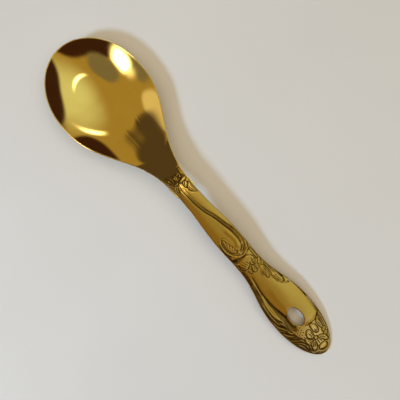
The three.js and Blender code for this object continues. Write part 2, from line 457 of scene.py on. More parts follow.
def normals_of(surface, s, y):
    """Directions square to a surface, pointing up."""
    reach = 0.01
    along = (surface(s + reach, y) - surface(s - reach, y)) / (2 * reach)
    across = (surface(s, y + reach) - surface(s, y - reach)) / (2 * reach)
    square = np.column_stack([-along, -across, np.ones_like(s)])
    return square / np.linalg.norm(square, axis=1)[:, None]


print("the lap runs from", AT_LAP, "to", AT_TAIL_TIP, "mm")

# %% Outline of the bowl
NOSE_STEPS = 400
TAPER_STEPS = 800

turn = np.linspace(0, math.pi / 2, NOSE_STEPS)
nose = np.column_stack([NOSE_LENGTH * (1 - np.cos(turn)), BOWL_WIDTH / 2 * np.sin(turn)])
taper_s = np.linspace(AT_WIDEST, AT_TAIL_ROUND, TAPER_STEPS)[1:-1]
taper = np.column_stack([taper_s, half_width(taper_s)])
tail_half = float(half_width(np.array(AT_TAIL_ROUND)))
tail = np.column_stack([AT_TAIL_ROUND + TAIL_ROUND * np.sin(turn), tail_half * np.cos(turn)])
bowl_line = np.concatenate([nose, taper, tail])
print("half of the bowl's outline is", round(walked(bowl_line)[-1], 1), "mm long")

# %% Corners of the bowl
BOWL_COLUMNS = 160
INSIDE_ROWS = 42
RIM_ROWS = 8
OUTSIDE_ROWS = 30
RIM_SHEET = 0.7  # the sheet is drawn thinner towards its rim
RIM_THINNING = 9.0
RIM_REACH = 0.4  # the rim runs up this far, so that its round edge lies on the outline
RIM_CROWDING = 1.5  # rows lie closer together towards the rim


def bowl_points(column, row):
    """Where the grid's corners go. Columns and rows are counted from 0."""
    edge, out = walk_along(bowl_line, column / BOWL_COLUMNS)
    over_rim = np.clip((row - INSIDE_ROWS) / RIM_ROWS, 0, 1)
    inside = np.clip(row / INSIDE_ROWS, 0, 1)
    outside = np.clip((row - INSIDE_ROWS - RIM_ROWS) / OUTSIDE_ROWS, 0, 1)
    spread = 1 - np.where(row <= INSIDE_ROWS, 1 - inside, outside) ** RIM_CROWDING
    foot = np.column_stack([np.clip(edge[:, 0], AT_WIDEST, AT_TAIL_ROUND), np.zeros_like(row)])
    spoke = edge - foot
    run = np.hypot(*spoke.T)
    spoke *= (1 + RIM_REACH / run)[:, None]
    s, y = (foot + spoke * spread[:, None]).T
    square = normals_of(bowl_outside, s, y)
    sheet = mix(RIM_SHEET, BOWL_SHEET, ease(run * (1 - spread) / RIM_THINNING))
    level = np.column_stack([out, np.zeros_like(row)])
    level -= square * (level * square).sum(axis=1)[:, None]
    level /= np.linalg.norm(level, axis=1)[:, None]
    angle = over_rim * math.pi
    lift = square * (BOWL_SHEET - sheet / 2 * (1 - np.cos(angle)))[:, None]
    bulge = level * (sheet / 2 * np.sin(angle))[:, None]
    return np.column_stack([s, y, bowl_outside(s, y)]) + lift + bulge


bowl_rows = INSIDE_ROWS + RIM_ROWS + OUTSIDE_ROWS
print("half of the bowl is a grid of", BOWL_COLUMNS, "by", bowl_rows, "faces")

# %% Bowl mesh
BOWL_MERGE = 0.002


def grid_places(verts, columns, rows):
    """Column and row of each corner of a fresh grid."""
    flat = np.array([vert.co[:2] for vert in verts]) + 0.5
    return np.rint(flat[:, 0] * columns), np.rint(flat[:, 1] * rows)


form = bmesh.new()
bmesh.ops.create_grid(form, x_segments=BOWL_COLUMNS, y_segments=bowl_rows, size=0.5)
corners = resting(bowl_points(*grid_places(form.verts, BOWL_COLUMNS, bowl_rows)))
for vert, corner in zip(form.verts, corners):
    vert.co = corner
bmesh.ops.remove_doubles(form, verts=form.verts, dist=BOWL_MERGE * MM)
half_bowl = form.verts[:] + form.edges[:] + form.faces[:]
bmesh.ops.mirror(form, geom=half_bowl, axis="Y", merge_dist=BOWL_MERGE * MM)
bmesh.ops.remove_doubles(form, verts=form.verts, dist=BOWL_MERGE * MM)
bmesh.ops.recalc_face_normals(form, faces=form.faces)
print("open edges of the bowl:", sum(edge.is_boundary for edge in form.edges))
bowl_form = form

# %% [markdown]
# The handle's flowers are struck between two dies, so they are part of the metal's surface. A bump
# texture would vanish at the outline and in the exported mesh, and sculpting can't be repeated.
# Instead each motif is drawn as a die engraver would: strokes that stand proud or are sunk, and
# leaves that are domed inside a sunk outline. The drawing is in millimetres, the station first and
# then the place across the handle. The places were read from the photograph, straightened to the
# handle's length. Each motif has its own cell below.

# %% Lines of the drawing
# A station of the drawing, and how far the drawing moves there along and across the handle
NECK_SHIFT = (118, -2.7, 0.6)
END_SHIFT = (243, -0.5, -0.6)
CURVE_STEPS = 6  # short straight pieces between two points of a line


def laid_on_handle(points):
    """Places on the handle. The straightened drawing lies a little askew on it."""
    s, y = np.array(points, float).T
    t = (s - NECK_SHIFT[0]) / (END_SHIFT[0] - NECK_SHIFT[0])
    along = mix(NECK_SHIFT[1], END_SHIFT[1], t)
    across = mix(NECK_SHIFT[2], END_SHIFT[2], t)
    return np.column_stack([s + along, y + across])


def smooth_line(points, closed=False):
    """A smooth line through a few points of the drawing."""
    knots = laid_on_handle(points)
    if closed:
        padded = np.concatenate([knots[-1:], knots, knots[:2]])
    else:
        padded = np.concatenate([2 * knots[:1] - knots[1:2], knots, 2 * knots[-1:] - knots[-2:-1]])
    t = np.linspace(0, 1, CURVE_STEPS + 1)[:-1, None]
    parts = []
    for a, b, c, d in zip(padded, padded[1:], padded[2:], padded[3:]):
        slow = (a - 2.5 * b + 2 * c - d / 2) * t**2
        parts.append(b + (c - a) * t / 2 + slow + (1.5 * (b - c) + (d - a) / 2) * t**3)
    return np.concatenate(parts + [knots[:1] if closed else knots[-1:]])


# %% Engraver's tools
STROKE_END = 0.12  # share of a stroke over which it swells up or dies away
VEIN_DEPTH = 0.2
VEIN_REACH = 0.42

strokes = []
leaves = []


def ridge(height, reach, *points, lead=STROKE_END):
    """A raised line, so many millimetres high and wide to either side. It swells up over its lead."""
    strokes.append((smooth_line(points), reach, height, lead))


def groove(depth, reach, *points, lead=STROKE_END):
    """A sunk line."""
    ridge(-depth, reach, *points, lead=lead)


def vein(start, stop, bow):
    """A short fine groove that bows a little to the right."""
    middle = ((start[0] + stop[0]) / 2, (start[1] + stop[1]) / 2 + bow)
    groove(VEIN_DEPTH, VEIN_REACH, start, middle, stop)


def dot(height, reach, place, along, across):
    """A dot, drawn as a very short stroke. It is a punched pit where the height is below 0."""
    s, y = place
    ridge(height, reach, (s - along, y + across), (s + along, y - across))


def leaf(height, rise, *points, tone=0.0):
    """A domed shape inside a closed outline. Rise is the run in which it reaches its height.

    A sunk ground between leaves is one with a height below 0 and a tone of painted shade,
    drawn before them."""
    leaves.append((smooth_line(points, closed=True), rise, height, tone))


def tell(motif):
    """Prints how much of the drawing is done."""
    print(motif + ":", len(leaves), "leaves and", len(strokes), "strokes so far")


# %% Places near a line


def nearness(line, places):
    """Distance of each place from a line, and the share of the line at which it is nearest."""
    gap = np.full(len(places), np.inf)
    along = np.zeros(len(places))
    for i, (start, run) in enumerate(zip(line, np.diff(line, axis=0))):
        share = np.clip((places - start) @ run / max(run @ run, 1e-9), 0, 1)
        away = np.hypot(*(places - start - share[:, None] * run).T)
        along = np.where(away < gap, i + share, along)
        gap = np.minimum(gap, away)
    return gap, along / (len(line) - 1)


def enclosed(line, places):
    """Whether each place is inside a closed line."""
    s, y = places.T
    crossings = np.zeros(len(places), int)
    for (s0, y0), (s1, y1) in zip(line, line[1:]):
        spans = (y0 > y) != (y1 > y)
        climb = y1 - y0 if y1 != y0 else 1
        crossings += spans & (s < s0 + (y - y0) * (s1 - s0) / climb)
    return crossings % 2 == 1


def near_line(line, reach, places):
    """Numbers of the places that a line with this reach could touch."""
    low = line.min(axis=0) - reach
    high = line.max(axis=0) + reach
    return np.flatnonzero(((places > low) & (places < high)).all(axis=1))


# %% Relief from the drawing
OUTLINE_CUT = 0.2  # depth and width of the sunk outline round a leaf
OUTLINE_REACH = 0.38
BROAD = 1.5  # wider strokes shape the metal without darkening or brightening it
LEAF_RELIEF = 0.5  # share of each leaf that polishing has left
STROKE_TIP = 0.15  # share of its height that a stroke has at its very ends
DARK_DEPTH = 0.25  # grooves of this depth get the most painted shade


def relief(s, y):
    """Height of the struck pattern, and the painted shade of each place in the recesses, from 0 to 1.
    """
    places = np.column_stack([s, y])
    height = np.zeros(len(s))
    recess = np.zeros(len(s))
    for line, rise, tall, tone in leaves:
        some = near_line(line, OUTLINE_REACH, places)
        gap, _ = nearness(line, places[some])
        within = enclosed(line, places[some])
        dome = LEAF_RELIEF * tall * (1 - np.clip(1 - gap / rise, 0, 1) ** 2)
        cut = np.cos(np.clip(gap / OUTLINE_REACH, 0, 1) * math.pi / 2) ** 2
        height[some] = np.where(within, dome, height[some]) - OUTLINE_CUT * cut
        recess[some] = np.maximum(np.where(within, tone, recess[some]), cut)
    for line, reach, tall, lead in strokes:
        some = near_line(line, reach, places)
        gap, along = nearness(line, places[some])
        taper = np.clip(np.minimum(along / lead, (1 - along) / STROKE_END), STROKE_TIP, 1)
        swell = np.cos(np.clip(gap / reach, 0, 1) * math.pi / 2) ** 2 * taper
        height[some] += tall * swell
        if reach > BROAD:
            continue
        # Sunk strokes get painted shade, and raised ones clear it.
        if tall < 0:
            recess[some] = np.maximum(recess[some], swell * min(1, -tall / DARK_DEPTH))
        else:
            recess[some] *= 1 - swell
    return height, recess


# %% [markdown]
# The collar at the neck is a crowd of curled leaf tips that reach towards the bowl, with punched pits
# between them, and two larger leaves behind.

# %% Collar leaves
# Its tone paints shade into the sunk ground between the leaf tips.
leaf(-0.3, 0.8, (104.4, -5.2), (105, -2.6), (105.4, 0.4), (105, 3), (105.6, 5.2), (109, 5.6),
     (112.4, 4.8), (112.8, 1), (112.4, -3), (111, -4.8), (107.6, -6), tone=0.85)
leaf(0.35, 0.8, (103.6, -6.4), (105.2, -6.7), (108, -5.9), (110.2, -4.9), (108.9, -4.2),
     (106.6, -4.8))
leaf(0.4, 0.8, (105.2, -3.9), (106.2, -4.6), (108.4, -4.1), (110, -3), (108.8, -2.2), (106.4, -2.9))
leaf(0.4, 0.8, (105.9, -1.4), (107.6, -2.3), (110, -2), (111.4, -0.6), (109.6, 0.6), (107, 0.1))
leaf(0.4, 0.8, (105.6, 1.6), (107, 0.8), (109.2, 1), (110.8, 2.2), (109, 3.2), (106.6, 2.7))
leaf(0.4, 0.8, (105, 4.4), (106.4, 3.2), (109, 3.4), (110.8, 4.6), (108.8, 5.4), (106.2, 5.3))
leaf(0.45, 0.9, (110.6, -4.6), (112.4, -4.3), (113.2, -2.6), (112.6, -1), (111.6, -1.6),
     (111.2, -3.2))
leaf(0.5, 1.0, (111.6, 5.2), (111, 3), (111.4, 0.6), (112.4, -1), (113.4, 0.4), (113.4, 2.8),
     (113, 5))
leaf(0.4, 0.8, (112.8, -2.3), (114.4, -2.9), (116, -3.6), (118, -4.6), (115.6, -5), (113.4, -3.8))
leaf(0.4, 0.8, (113.4, 0.8), (115.4, 0.2), (117.4, 0.6), (116.8, 2), (115.4, 3.4), (113.6, 3))
leaf(0.5, 1.1, (115, 4.4), (116.2, 2.6), (117.6, 1.3), (120, 1.3), (121.4, 2.2), (123, 4.9),
     (119, 5.1))
groove(0.2, 0.45, (113.6, 2.4), (114.6, 1.7), (116, 0.9))
groove(0.2, 0.45, (113.8, -3), (115.4, -3.7), (117.4, -4.5))
groove(0.16, 0.4, (117.4, 2.6), (119, 2.4), (120.8, 2.9), (122.2, 4.4))
groove(0.16, 0.4, (117, 4), (119, 3.9), (121, 4.3))
pits = [(107.4, 0.6), (108.8, 1.9), (109.4, -2.1), (108.8, -4.7), (109.6, 4.1), (111, 2), (110.9, -1.1)]
for pit in pits:
    dot(-0.4, 0.75, pit, 0.25, 0.2)
groove(0.3, 0.55, (110.4, -2.1), (111.2, -3.3), (111.5, -4.1))
for side in (-1, 1):
    groove(0.12, 0.4, (108.6, -0.5), (109.3, -0.5 + 0.8 * side), (110, -0.5))
tell("collar")

# %% [markdown]
# From the collar a single stem runs up the shank as a ridge between two grooves, curls over like a
# hook, and rolls up in a scroll whose inside is a small curled leaf.

# %% Stem and hook
groove(0.22, 0.62, (117, -0.9), (122, -0.7), (128, -0.2), (135, 1.2), (140, 3), (145, 4.3),
       (148, 5), (151, 6), (155, 6.5), (160, 6.7), (162, 6.3), (164, 5.5), (165.5, 4.5), (167, 2.8),
       (167.8, 1), (167.8, -0.5), (167.2, -2), (165.8, -3.6), (164, -4.9), (161.5, -5.7),
       (159, -5.8), (156.5, -5.5), (154.8, -4.7), (153.7, -3.6), (153.8, -2.5), (155, -1.7),
       (158, -1.2))
groove(0.24, 0.62, (117, -2.8), (122, -2.5), (128, -2), (135, -0.7), (140, 1.1), (145, 2.3),
       (148, 2.9), (152, 3.9), (155, 4.4), (159, 4.6), (161, 4.4), (163, 4), (164.5, 2.8),
       (165.3, 1.3), (165.6, 0.3), (164.8, -0.6))
ridge(0.36, 0.65, (113.5, -1.2), (118, -1.9), (122, -1.6), (128, -1.1), (135, 0.2), (140, 2),
      (145, 3.3), (148, 3.9), (152, 5), (155, 5.6), (158, 5.8), (160, 5.8), (162, 5.4),
      (163.5, 4.8), (165, 3.6), (166, 2.1), (166.7, 0.5), (166.4, -0.8), (165.4, -2))
ridge(0.22, 2.2, (150, 1.6), (154, 2.4), (157, 2.9), (159.5, 3), (162, 2), (163.6, 0.6))
ridge(0.2, 0.7, (154, -5.6), (157, -6.5), (160, -6.8), (163, -6.3), (165.4, -5))
ridge(0.25, 0.9, (150, 7), (155, 7.4), (160, 7.6), (163.5, 7))
tell("stem and hook")

# %% Curled leaf inside the hook
leaf(0.35, 0.9, (154.6, -3.6), (156, -2.7), (157.4, -2.9), (158.6, -1.9), (159.8, -2.5),
     (160.6, -1.2), (161.6, -2), (162.6, -0.9), (163.4, -1.8), (164.6, -0.9), (165.2, -2.4),
     (163.6, -4.3), (161, -5), (158, -5), (155.6, -4.5))
groove(0.22, 0.45, (157.4, -3.1), (158.4, -3.8), (159.4, -4.5))
groove(0.18, 0.45, (159.8, -2.7), (160.4, -3.2), (160.9, -3.8))
groove(0.16, 0.4, (161.8, -2.2), (162.2, -2.9), (162.5, -3.6))
groove(0.16, 0.4, (163.5, -2), (163.6, -2.6), (163.6, -3.3))
groove(0.25, 0.5, (164.6, -0.5), (165.4, -1.3), (165.6, -2.4))
tell("curled leaf")

# %% [markdown]
# At the waist a band crosses the handle, and a flower in profile opens next to it: one broad veined
# petal towards the bowl, a crescent beside it, and three scalloped petals towards the end. A slim bud
# lies along the edge.

# %% Waist band and bud
ridge(0.4, 1.1, (163.5, 7.4), (166, 5.6), (167.9, 4.2), (168.6, 2), (168.7, 0), (168.3, -2),
      (167.6, -4.5), (167.2, -7.4))
groove(0.26, 0.7, (169.4, 3), (169.7, 1), (169.6, -1.5), (169.5, -3.5), (169.8, -5.4),
       (170.4, -7.2))
groove(0.3, 1.4, (168.6, -7.4), (169.2, -6), (169.4, -4.6))
leaf(0.35, 0.6, (167.2, 6.1), (169, 6.7), (172, 6.9), (175.4, 6.5), (175.2, 5.5), (172, 5.3),
     (169, 5.4))
tell("waist band and bud")

# %% Waist flower
leaf(0.5, 1.4, (174.6, 4.6), (172.8, 4.4), (171.2, 3.5), (170.3, 1.5), (169.9, -1), (170.2, -3.5),
     (171, -5.7), (172.6, -6.7), (174.6, -6.7), (176.2, -5.7), (176.9, -4), (176.4, -2), (175.4, 0),
     (174.6, 2.2))
leaf(0.4, 0.7, (174.9, 5), (176.4, 5.2), (177.8, 3.6), (178.5, 1.6), (177.9, 0.7), (177, 2.2),
     (175.8, 3.4))
leaf(0.45, 0.9, (177.2, 2.6), (178.6, 3.9), (179.8, 3.5), (180.4, 2.4), (179.8, 1.3), (178, 1))
leaf(0.45, 0.9, (177, 1), (179.4, 1.4), (180.9, 0.9), (181.3, -0.4), (180.5, -1.5), (178.8, -1.4),
     (177, -0.4))
leaf(0.45, 0.9, (176.8, -0.6), (178.8, -1.4), (180.3, -1.9), (180.7, -2.8), (180, -3.7),
     (178.8, -4), (177.5, -3.5), (176.8, -2.4))
leaf(0.4, 0.7, (174.4, 1.2), (175, 2.2), (176.2, 2.2), (176.8, 1.2), (176.2, 0.2), (175, 0.2))
waist_veins = [
    ((174.9, -0.6), (172.8, -1.6)),
    ((175.2, -1.7), (172.7, -3.2)),
    ((175.4, -3), (172.8, -4.7)),
    ((175.8, -4.2), (173.8, -5.8)),
    ((178, 2), (179.2, 2.8)),
    ((178, 0.2), (180, 0)),
    ((177.8, -1.9), (179.4, -2.8)),
    ((174.3, 2.6), (172.6, 2.6)),
]
for start, stop in waist_veins:
    vein(start, stop, bow=0.15)
groove(0.24, 0.5, (175.3, 1.6), (175.8, 1.1))
tell("waist flower")

# %% [markdown]
# From the flower a stalk leaves along the right hand edge. It carries a long veined leaf and a flame
# shaped one that ends in a small scroll with a bright rolled lip.

# %% Right hand leaves
ridge(0.3, 0.8, (175.6, 7.2), (178, 5.9), (179.5, 4.6), (181, 3.6), (184, 1.9), (186, 1.7))
leaf(0.45, 1.0, (180.2, 4.2), (180.6, 5.7), (183, 5.9), (186, 5.6), (187.6, 4.7), (188.9, 3.3),
     (187.7, 2.4), (184.6, 2.5), (182, 3.2))
leaf(0.8, 1.4, (179.6, 7.4), (183, 8.6), (186, 9.3), (190, 10.2), (193.4, 10.4), (195.4, 9.9),
     (196.6, 8.9), (195.9, 7.8), (194.4, 7.2), (193.2, 6.6), (190.4, 6), (188.6, 5.2), (187, 6.2),
     (184, 6.5), (181, 6.4))
groove(0.22, 0.45, (181.4, 4.9), (184, 4.5), (186, 3.4), (187.4, 2.9))
groove(0.16, 0.4, (182.4, 5.4), (185, 5.1), (187, 4.1))
groove(0.16, 0.4, (182.6, 3.7), (184.6, 3.2), (186.4, 2.8))
groove(0.22, 0.45, (186.5, 8.9), (190, 9.3), (193.4, 9.7))
groove(0.2, 0.45, (189.2, 7.5), (192, 7.6), (195, 8))
groove(0.2, 0.45, (182.6, 7.4), (186, 7.8), (189, 8.2))
groove(0.3, 0.5, (194.9, 9.4), (196, 9.4), (196.4, 8.7), (195.7, 8.3))
ridge(0.4, 0.65, (188.9, 4.9), (190.3, 5.6), (192, 6), (193.8, 6.2), (194.6, 7), (196.2, 7.7),
      (197.3, 8.9), (198, 10.2), (199, 11))
ridge(0.3, 0.8, (193.2, 10.7), (194.4, 11.3), (196.4, 11.9), (199, 12.2), (203, 12.7), (208, 12.9),
      (213, 12.7))
tell("right hand leaves")

# %% [markdown]
# Between the leaves lies the plain panel. It isn't flat: a soft crease runs down it towards the hole,
# and its left side sinks into a hollow that is deepest beside the hole. A border of long ribs follows
# the left edge.

# %% Panel and left border
ridge(0.12, 6.5, (184, 0.5), (190, 3), (196, 4), (202, 3.6), (207, 2.6), (212, 1.6))
groove(0.3, 4.2, (192, -3.6), (200, -4.6), (208, -4.8), (214, -5.6), (220, -5.8), (224, -5))
groove(0.75, 2.2, (194, -6.2), (200, -6.7), (206, -6.5), (211, -6.1), (215, -6), (219, -6),
       (223, -5.6), lead=0.7)
# Its tone paints shade into the hollow beside the hole.
leaf(-0.1, 1.0, (197, -6.3), (204, -6.1), (210, -5.5), (215, -5), (219, -4.9), (222.4, -4.6),
     (223.6, -5.8), (220, -7.4), (215, -7.6), (209, -7.6), (203, -7.4), tone=0.75)
ridge(0.25, 0.7, (210.6, -1.6), (212.4, -3.2), (215, -4.2), (217.5, -4.3), (220, -3.8),
      (222.5, -2.4))
groove(0.3, 0.8, (180.6, -3.9), (184, -4.8), (188, -5.5), (192, -6.2), (196, -6.6), (201, -7),
       (205, -6.6), (209, -6), (212, -5.5), (214.5, -5.3))
ridge(0.32, 0.75, (180, -5.5), (186, -6.5), (190, -7), (196, -8.2), (199, -9), (203, -9.6),
      (207, -9.8), (209.8, -9.4), (212, -8.7), (214, -7.5), (215, -7))
# Its tone paints shade into the sunk ground along the left edge.
leaf(-0.15, 0.8, (186, -7.4), (192, -8.5), (198, -9.8), (204, -10.3), (209, -10.7), (212, -11.4),
     (212, -14), (206, -13.6), (200, -12.7), (194, -11), (188, -9.2), tone=0.8)
groove(0.24, 0.7, (190, -8.3), (196, -9.4), (199, -10.1), (204, -10.5), (208, -10.6), (213, -10.5))
ridge(0.25, 0.7, (198, -10.4), (201, -10.7), (204, -11.1), (208, -11.5), (212, -11.2),
      (215.5, -10.4))
tell("panel and border")

# %% [markdown]
# Below the border the edge is covered with hair-like waves that sweep towards the end flower. A
# punched ground lies between the waves and the flower.

# %% Waves
# Its tone paints shade into the sunk ground under the waves.
leaf(-0.25, 0.8, (208, -11), (213, -9.4), (216.5, -8), (219.4, -7.8), (222, -7.4), (225, -7.4),
     (228, -6.6), (230, -5.6), (233, -4.9), (236, -5.4), (238.4, -6.4), (238, -8.6), (234, -11),
     (230, -12.6), (225, -13.8), (218, -14.2), (212, -14), tone=0.9)
for crest in [
    [(209.5, -12.8), (212, -12.8), (214.5, -12.5), (216.5, -11.4), (218.5, -10.2), (221, -8.8)],
    [(213, -10), (215, -9.3), (217, -8.4), (218.4, -8.5)],
    [(216.8, -12.9), (218.8, -11.6), (220, -10.3), (221.2, -9.3), (222.4, -9), (223.4, -8.2),
     (223.2, -7)],
    [(219.5, -12.7), (221.5, -11.9), (223, -10.9), (224.5, -9.7), (225.6, -8.5)],
    [(222.5, -12.2), (224.3, -11.2), (226, -9.6), (227.3, -8)],
    [(226, -11.7), (227.8, -9.9), (228.9, -8.5), (230, -6.9)],
    [(229, -10.2), (231, -8.4), (232.5, -7.2), (234, -6.5), (236, -6.2), (238, -6.8)],
    [(231, -9.8), (232.6, -8.9), (234.2, -8.2), (236.6, -7.8)],
    [(229.4, -7.2), (231, -6.1), (233.6, -5.4)],
]:
    ridge(0.3, 0.5, *crest)
for valley in [
    [(211, -11.9), (214.5, -11.5), (217, -10.2), (219, -9.1)],
    [(215, -13.2), (217.6, -11.9), (219.4, -10.4), (221, -9.6)],
    [(219.6, -11.8), (221.8, -10.6), (223.6, -9.3), (224.6, -8)],
    [(221.6, -12.6), (223.8, -11.4), (225.4, -9.9), (226.5, -8.3)],
    [(224.6, -12.1), (226.8, -10.2), (228, -8.7), (228.8, -7.4)],
    [(227.8, -11.2), (229.4, -9.3), (230.6, -7.8), (232.4, -6.4), (235.4, -5.5)],
    [(230.2, -9.6), (232.4, -8), (235, -7.2), (237.4, -7.2)],
]:
    groove(0.3, 0.95, *valley)
for row in range(3):
    for step in range(4):
        spot = (223.2 + 1.9 * step + 0.9 * (row % 2), -2.8 - 1.5 * row)
        dot(-0.35, 0.62, spot, 0.15, 0.1)
tell("waves")

# %% [markdown]
# A full flower closes the end of the handle. Its petals differ: a round one beside the hole, folded
# ones below, a smooth one at the very end, and pointed leaves above. Petals drawn later lie over the
# earlier ones.

# %% End flower
ridge(0.35, 1.0, (223.4, 10.6), (225, 8.4), (225, 5.6), (224.6, 3.4), (225.2, 1))
leaf(0.4, 0.8, (224, 12), (226, 11.9), (229, 11.2), (232.4, 10.2), (233, 9.2), (230, 9.6),
     (226.6, 10.6))
leaf(0.4, 0.9, (226.4, 8.6), (227.2, 7.3), (230, 7.3), (232.8, 8), (232.6, 9.2), (230, 9.9),
     (227.2, 9.9))
leaf(0.45, 0.9, (233, 7.4), (234.4, 6.9), (235, 8.4), (234.3, 10), (233.2, 10.7), (232.6, 9))
leaf(0.45, 0.9, (235.2, 6.9), (237, 6.3), (237.7, 7.6), (236.9, 9.4), (235.6, 9.9), (235, 8.6))
leaf(0.5, 1.1, (234.9, 2.4), (237.4, 3.6), (239.6, 4.8), (240.5, 6.4), (239.6, 7.7), (237.8, 7.6),
     (235.8, 6), (234.6, 4))
leaf(0.45, 1.1, (232.4, -2.4), (234, -1), (235.6, -1.8), (236.2, -3.6), (235, -5.4), (232.4, -5.5),
     (230.6, -4.4))
leaf(0.45, 1.1, (233.8, 0.6), (231.8, 1.4), (229.6, 1.7), (227.7, 0.9), (227.4, -0.6),
     (228.8, -2.2), (231, -3), (233, -1.6))
leaf(0.5, 1.1, (235, -0.4), (237.6, -0.4), (239.8, -1.6), (240.8, -3.6), (239.8, -5.6),
     (237.6, -4.7), (235.8, -4), (235, -2))
leaf(0.55, 1.3, (226.4, 2.7), (225.9, 4), (226.8, 5.6), (229, 6.4), (231.4, 6), (232.7, 4.6),
     (232.2, 3.2), (230, 2.4))
leaf(0.6, 1.5, (239.2, 1.8), (239.8, 4), (241.4, 4.9), (243, 3.8), (243.5, 1.6), (242.8, -0.7),
     (241.2, -1.7), (239.6, -0.4))
leaf(0.4, 0.8, (233.2, 1.2), (233.6, 2.3), (234.6, 2.6), (235.5, 1.8), (235.4, 0.5), (234.4, 0),
     (233.4, 0.3))
tell("end flower")

# %% Veins and stamens of the end flower
end_veins = [
    ((232.9, -0.4), (229.4, -0.8)),
    ((232.6, 0.6), (229.6, 0.7)),
    ((233.9, -1.4), (232.9, -4.2)),
    ((234.6, -1.6), (234.6, -4.2)),
    ((235.8, -1), (238.6, -2.8)),
    ((235.6, -1.8), (237.8, -3.8)),
    ((235.6, 1), (238.6, 0.9)),
    ((235.8, 2), (238.4, 2.9)),
    ((235.6, 3.4), (238.4, 6)),
    ((235.2, 4.2), (236.6, 5.8)),
    ((232.6, 3.2), (229.6, 4)),
    ((227.4, 8.4), (231.4, 8.5)),
    ((233.6, 7.6), (233.7, 9.6)),
    ((236, 7.4), (236, 9)),
    ((232.4, 3.9), (230.4, 5)),
    ((236.2, -0.4), (239, -1.4)),
]
for start, stop in end_veins:
    vein(start, stop, bow=0.12)
groove(0.3, 0.55, (231.6, -3.4), (233, -2.2), (234.2, -1))
for stamen in [(233.9, 1.8), (234.8, 1.7), (234.9, 0.8), (234, 0.7)]:
    dot(0.2, 0.45, stamen, 0.1, 0)
tell("whole drawing")

# %% [markdown]
# The handle itself is an arched strip of sheet, crowned on its face and hollow behind, with an oval
# hole. Like the bowl it is made of bent grids, because the struck pattern needs many small even
# faces. One grid covers one half: its columns follow the outline from the middle of the front edge to
# the end, and its rows run from the middle line over the face, round the polished edge and across the
# back. The second grid covers the other half with its own part of the drawing. Where the two meet
# they are merged, and the hole stays open until a bridge of faces joins its upper and lower edge.

# %% Sizes of the handle
HANDLE_SHEET = 2.0
ARCH_KNEE = 18.0
NECK_CROWN = 0.6
PALM_CROWN = 2.2
EDGE_ROLL = 3
LAP_BLEND = 8.0
LAP_PLATE = 1.7
LAP_CLEARANCE = 0.3
BRAZE_FILM = 0.25
HOLE_LENGTH = 13.0
HOLE_WIDTH = 7.6
HOLE_FROM_END = 29.0
HOLE_ROUND = 0.5
LEAF_TIP_SHEET = 0.55  # the front edge is beaten thin where the leaf tips lie on the bowl
LEAF_TIP_RUN = 9.0
LEAF_TIP_LEAD = 1.0  # the sheet starts to thicken this far before the front's sides

AT_HOLE = AT_END - HOLE_FROM_END
LAP_FACE = RIM_HEIGHT + NECK_RISE + BOWL_SHEET
LAP_BACK = LAP_FACE + BRAZE_FILM
CREST_TOP = LAP_BACK + LAP_PLATE
END_TOP = HANDLE_SHEET + PALM_CROWN - FOOT_WEAR
print("the handle's crest is", CREST_TOP, "mm high")

# %% Surfaces of the handle


def arch_fall(s):
    """A measure of how far the arch has come down from its crest over the lap."""
    return np.hypot(s - AT_CREST, ARCH_KNEE) - ARCH_KNEE


def handle_face(s, y):
    """The plain crowned face, before it is struck."""
    round_end = np.hypot((s - AT_PALM) / END_LENGTH, y / (PALM_WIDTH / 2))
    outward = np.where(s > AT_PALM, round_end, np.abs(y) / np.clip(half_width(s), 1, None))
    crown = mix(NECK_CROWN, PALM_CROWN, ease((s - AT_TAIL_TIP) / (AT_PALM - AT_TAIL_TIP)))
    spine = mix(CREST_TOP, END_TOP, arch_fall(s) / arch_fall(AT_END))
    return spine - crown * outward**EDGE_ROLL


def handle_back(s, y):
    """The underside: flat on the lap, and then as far under the face as the sheet is thick."""
    past = ease((s - AT_TAIL_TIP - LAP_CLEARANCE) / LAP_BLEND)
    return mix(LAP_BACK, handle_face(s, y) - HANDLE_SHEET, past)


def hole_distance(s, y):
    """About how far each place is outside the hanging hole."""
    ds = (s - AT_HOLE) / (HOLE_LENGTH / 2)
    dy = y / (HOLE_WIDTH / 2)
    reach = np.hypot(ds, dy)
    slope = np.hypot(ds / (HOLE_LENGTH / 2), dy / (HOLE_WIDTH / 2)) / np.clip(reach, 0.1, None)
    return np.clip((reach - 1) / np.clip(slope, 0.01, None), 0, None)


print("neck and palm are this high:", handle_face(np.array([AT_NECK, AT_PALM]), np.zeros(2)).round(1))

# %% Outline of the handle
FRONT_MIDDLE = 103.1
FRONT_SIDE = 100.3
FRONT_HALF_WIDTH = 6.2
FRONT_CURL = 1.6  # how late the front edge bends towards the bowl at its sides
FRONT_CORNER = 1.6  # the side starts this far behind the front
LOBE_DEPTH = 0.45  # the edge follows the leaf tips in small lobes
LOBE_PITCH = 2.9
FRONT_STEPS = 240
SIDE_STEPS = 1600
END_STEPS = 500

front_y = np.linspace(0, FRONT_HALF_WIDTH, FRONT_STEPS)
front_s = FRONT_MIDDLE - (FRONT_MIDDLE - FRONT_SIDE) * (front_y / FRONT_HALF_WIDTH) ** FRONT_CURL
front_s = front_s - LOBE_DEPTH * (np.cos(front_y / LOBE_PITCH * 2 * math.pi) - 1)
side_s = np.linspace(FRONT_SIDE + FRONT_CORNER, AT_PALM, SIDE_STEPS)
turn = np.linspace(0, math.pi / 2, END_STEPS)[1:]
front_line = np.column_stack([front_s, front_y])
side_line = np.column_stack([side_s, half_width(side_s)])
end_line = np.column_stack([AT_PALM + END_LENGTH * np.sin(turn), PALM_WIDTH / 2 * np.cos(turn)])
handle_line = np.concatenate([front_line, side_line, end_line])
handle_walk = walked(handle_line)
print("half of the handle's outline is", round(handle_walk[-1], 1), "mm long")

